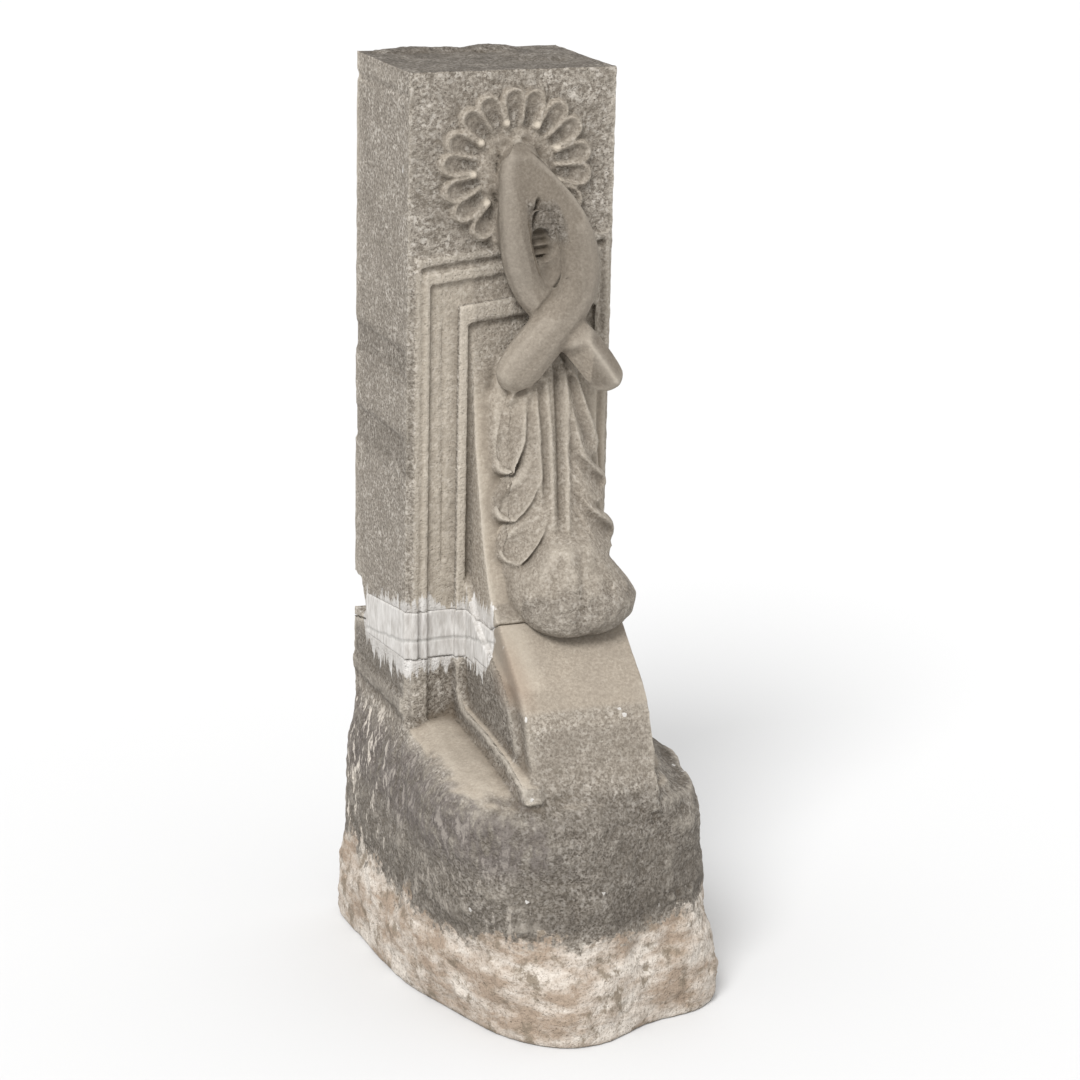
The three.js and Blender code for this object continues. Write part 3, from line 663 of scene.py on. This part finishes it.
bars_front = -(BARS["front"] + BARS["depth"] * np.sin((z - BARS["slope"] * x) * BARS["turn"]))
fill_front = bars_front + rise(hole, 0.8, 1.1) * (fill_front - bars_front)
filled = (fill < 1.05) & (y < 2) & (z < 962)
points[:, 1] = np.where(filled, np.minimum(points[:, 1], fill_front), points[:, 1])
relax(upper, points, 0.5 * (((web < 1.3) | (fill < 1.35)) & (hole > 1.2) & (points[:, 1] < -12)), 8)
relax(upper, points, 0.5 * petal_zone, 2)
facing = read_facing(upper)
band_front = (points[:, 1] < -12) * rise(-facing[:, 1], 0.0, 0.4)
carve(points, band_front, EYE_SLIT, SLIT_DEPTH, 0.1)
carve(points, band_front * (z < 862), CROSSING, CROSSING_DEPTH, 0.1)

(ax, az), (bx, bz) = ROOF["from"], ROOF["to"]
length = math.hypot(bx - ax, bz - az)
share = ((x - ax) * (bx - ax) + (z - az) * (bz - az)) / length ** 2
beside = ((x - ax) * (az - bz) + (z - az) * (bx - ax)) / length / ROOF["half"]
lean = np.where(
    beside < ROOF["ridge"],
    1.1 - (ROOF["ridge"] - beside) / (1 + ROOF["ridge"]),
    1.1 - 0.75 * (beside - ROOF["ridge"]) / (1 - ROOF["ridge"]),
)
spine = ROOF["near"][0] + np.clip(share, 0, 1) * (ROOF["near"][1] - ROOF["near"][0])
roof_zone = (
    rise(share, 0.1, 0.3) * (1 - rise(share, 0.85, 1.05)) * (np.abs(beside) < 1.05) * (points[:, 1] < -spine)
)
points[:, 1] += 0.85 * roof_zone * (-spine - ROOF["depth"] * np.clip(lean, 0, 1.1) - points[:, 1])
relax(upper, points, 0.5 * (roof_zone > 0.05), 2)

write_points(upper, points)
facing = read_facing(upper)
x, y, z = points.T
leaf_end = 550 - 38 * (1 - rise(x, 112, 150))
leaf_target = -leaf_front_at(points)
leaf_blend = rise(z - leaf_end, 0, 16) * (1 - rise(z, 795, 808)) * (y < -3) * (x > 84)
leaf_blend *= 1 - rise(z, 690, 700) * (1 - rise(ribbon, 1.05, 1.4)) * rise(leaf_target - y, 4, 12)
leaf_blend *= 1 - rise(x, 182, 204)
points[:, 1] += leaf_blend * (leaf_target - y)
leaf_front = leaf_zone * rise(-facing[:, 1], -0.1, 0.3)
for path in MID_RIDGES:
    carve(points, leaf_front, path, -RIDGE_PROUD)
carve(points, leaf_front, MID_GROOVE, GROOVE_DEPTH, 0.1)
carve(points, leaf_front, MID_FLUTE, FLUTE_DEPTH)
for path in RIGHT_HOLLOWS:
    carve(points, leaf_front, path, HOLLOW_DEPTH, 0.1)
for path in RIGHT_SEAMS:
    carve(points, leaf_front, path, SEAM_DEPTH, 0.1)
for path in TIP_VEINS:
    carve(points, leaf_front, path, -VEIN_PROUD)
for path in TIP_FLUTES:
    carve(points, leaf_front, path, TIP_FLUTE_DEPTH)
for path in (TIP_LIP, TIP_LIP_RIGHT):
    carve(points, leaf_front, path, LIP_DEPTH)
relax(upper, points, 0.5 * leaf_zone, 7)
under_tail = (z > 690) & (z < 738) & (x < 150) & (ribbon > 0.8) & (ribbon < 1.8) & (y < -8)
relax(upper, points, 0.5 * under_tail, 14)
carve(points, (y > -4) & (y < 3), INCISED_LINE, LINE_DEPTH, 0.2)
write_points(upper, points)
thin(upper, points[:, 1] > 20)

points = read_points(upper)
x, y, z = points.T
facing = read_facing(upper)
ribbon = np.minimum.reduce([nearness(points, path) for path in RIBBON_PATHS])
on_ribbon = (1 - rise(ribbon, 0.95, 1.1)) * (y < -8)
on_console = rise(x, 79, 83) * (y < -2) * (z < 806)
in_rose = (1 - rise(np.hypot(x - ROSE["x"], z - ROSE["z"]), 92, 104)) * (y < -1)
_, scooped, beaded = rosette_height(points)
petals = in_rose * (1 - on_ribbon) * (y > -16)
on_front = rise(-facing[:, 1], 0.3, 0.8)
in_frame = on_front * rise(x, 4, 16) * (1 - rise(z, 850, 900))
fill = nearness(points, EYE_FILL)
hole = nearness(points, EYE_HOLE)
on_ribbon = np.maximum(on_ribbon, (fill < 1.05) * (y < -12) * (z > 840))
pecked_web = (1 - rise(fill, 0.7, 0.95)) * (hole > 1) * rise(z, 896, 912) * (1 - rise(z, 944, 956))
worn = np.maximum.reduce([on_ribbon, on_console * (1 - rise(z, 690, 800)), 0.5 * in_rose, 0.3 * in_frame])
on_leaf = (1 - rise(z, 660, 760)) * rise(-y - read_rows(z, CONSOLE_FALL), 1, 5)
worn *= 1 - 0.45 * on_leaf * (1 - on_ribbon)
tip_edge = 506 + 0.12 * (x - 160) + 16 * grit(points, 17, 33)
tip_band = (1 - rise(z, tip_edge - 20, tip_edge + 16)) * (y < -104)
worn *= (1 - 0.55 * tip_band) * (1 - 0.8 * pecked_web)
top_face = rise(facing[:, 2], 0.6, 0.9) * rise(z, 1060, 1090)
# Painted shade: the top face is darkened in uneven patches, for the weaker light it gets.
top_soot = (0.85 + 0.3 * grit(points, 16, 34)) * top_face
ribbon_soot = on_ribbon * np.interp(z, [700, 770, 860, 1000], [0.24, 0.42, 0.74, 0.82])
tail_soot = 0.8 * (x > 204) * (y < -24) * rise(z, 722, 740) * (1 - rise(z, 815, 835))
# Painted shadows: the left face is darkened over the heights of its two bands.
side_soot = 0.3 * (x < 6) * np.maximum.reduce(
    [rise(z, foot - 12, foot) * (1 - rise(z, top, top + 12)) for foot, top in ((624, 667), (736, 772))]
)
# Painted shade: the back of the ribbon's eye is darkened a little.
eye_soot = 0.1 * (hole < 1) * (y > -30) * (y < 2)
leaf_soot = np.maximum(0.45 * tip_band, 0.2 * on_leaf)
petal_soot = 0.5 * petals * scooped
# Sooty grime, with painted shade on the top face, the left-face bands and the back of the eye.
soot = np.maximum.reduce([top_soot, ribbon_soot, tail_soot, side_soot, eye_soot, leaf_soot, petal_soot])
pale = in_frame * (0.5 - 0.35 * rise(x, 78, 84)) * (1 - tip_band) * (1 - on_ribbon) * (1 - 0.8 * on_leaf)
pale = np.maximum(pale, 0.5 * rise(y, 184, 192) * (x < 6) * rise(z, 930, 960))
pale = np.maximum(pale, petals * rise(beaded, 0.2, 0.8))
rough = grit(points, 4.5, 6) * 0.55 + grit(points, 8, 7) * 0.5 + top_face * (grit(points, 13, 35) - 0.6)
joint_edge = np.interp(y, BREAK_AT, BREAK_HEIGHTS)
off_joint = rise(z - joint_edge, 1, 6)
at_joint = (1 - rise(z - joint_edge, 1, 5)) * (x > 66) * (y < -2)
pale = np.maximum(pale, 0.55 * at_joint * (1 - rise(x, 100, 125)))
in_eye = (fill < 1.3) * (y < 2)
# Strength of the painted highlight on the crests: none at the joint or in the eye, less on top and petals.
crest_highlight = (1 - at_joint) * (1 - 0.65 * petals) * (1 - 0.9 * rise(z, 1085, 1098))
crest_highlight *= (1 - in_eye) * (1 - 0.5 * (x < 12))
roughen(upper, points, rough, worn, off_joint)
mark(upper, worn=worn, soot=soot, pale=pale, film=plaster_film(points))
mark_depth(upper, points, 1 - at_joint, crest_highlight)

shaft_finish = Bench("carved_stone")
stone_surface(shaft_finish, *stone_colours(shaft_finish))
finish_mesh(upper, shaft_finish.material)
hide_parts("upper_stone")
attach(upper, "root")

# The plaster repair: white filler pressed into the chipped edge of the break and
# brushed over the mouldings beside it.
PLASTER_GRAIN = 0.0013
CRACK = {"height": 417, "fall": 0.19, "depth": 0.9, "wander": 1.5}
FILL_PROUD, BRUSH_DEPTH = 0.6, 0.3
plaster = recut("plaster_repair", "plaster_repair_brushed", PLASTER_GRAIN)
points = read_points(plaster)
facing = read_facing(plaster)
streaks = grit(points * (1, 1, 0.2), 3, 21)
crack_line = CRACK["height"] - CRACK["fall"] * points[:, 1] + CRACK["wander"] * grit(points, 14, 22)
crack = 1 - rise(np.abs(points[:, 2] - crack_line), 0.8, 2.6)
points += facing * (streaks * BRUSH_DEPTH + FILL_PROUD - CRACK["depth"] * crack)[:, None]
write_points(plaster, points)
mark(plaster, crack=crack)
plaster_finish = Bench("plaster")
brushed = plaster_finish.noise(5, 3, 0.6, plaster_finish.stretched((1, 1, 0.25)))
brush_share = plaster_finish.spread(brushed, 0.3, 0.7)
plaster_colour = plaster_finish.mix(brush_share, tint(*FILLER_DARK), tint(*FILLER_PALE))
crack_share = plaster_finish.spread(plaster_finish.painted("crack"), 0, 1, 0, 0.45)
cracked = plaster_finish.mix(crack_share, plaster_colour, tint(150, 148, 143))
plaster_finish.join(cracked, plaster_finish.shader.inputs["Base Color"])
plaster_finish.join(plaster_finish.dent(brushed, 0.8), plaster_finish.shader.inputs["Normal"])
dulled = plaster_finish.spread(brushed, 0.3, 0.7, 0.8, 0.95)
plaster_finish.join(dulled, plaster_finish.shader.inputs["Roughness"])
finish_mesh(plaster, plaster_finish.material)
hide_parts("plaster_repair")
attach(plaster, "root")

# The room: a plain pale floor, an even white surround, and one broad soft lamp
# up on the left of the viewer.
floor_mesh = bmesh.new()
bmesh.ops.create_grid(floor_mesh, x_segments=1, y_segments=1, size=12)
floor_data = bpy.data.meshes.new("floor")
floor_mesh.to_mesh(floor_data)
floor_mesh.free()
floor = bpy.data.objects.new("floor", floor_data)
bpy.context.scene.collection.objects.link(floor)
floor_finish = bpy.data.materials.new("pale_floor")
floor_finish.use_nodes = True
floor_shader = floor_finish.node_tree.nodes["Principled BSDF"]
floor_shader.inputs["Base Color"].default_value = (0.595, 0.595, 0.595, 1)
floor_shader.inputs["Roughness"].default_value = 0.9
floor_data.materials.append(floor_finish)

surround = bpy.data.worlds.new("surround")
surround.use_nodes = True
sky = surround.node_tree.nodes["Background"]
sky.inputs["Color"].default_value = (1, 1, 1, 1)
sky.inputs["Strength"].default_value = 1.0
bpy.context.scene.world = surround

lamp = bpy.data.objects.new("lamp", bpy.data.lights.new("lamp", "SUN"))
lamp.data.energy = 3.0
lamp.data.angle = math.radians(24)
lamp.rotation_euler = Vector((0.62, 0.72, -1.0)).to_track_quat("-Z", "Y").to_euler()
bpy.context.scene.collection.objects.link(lamp)
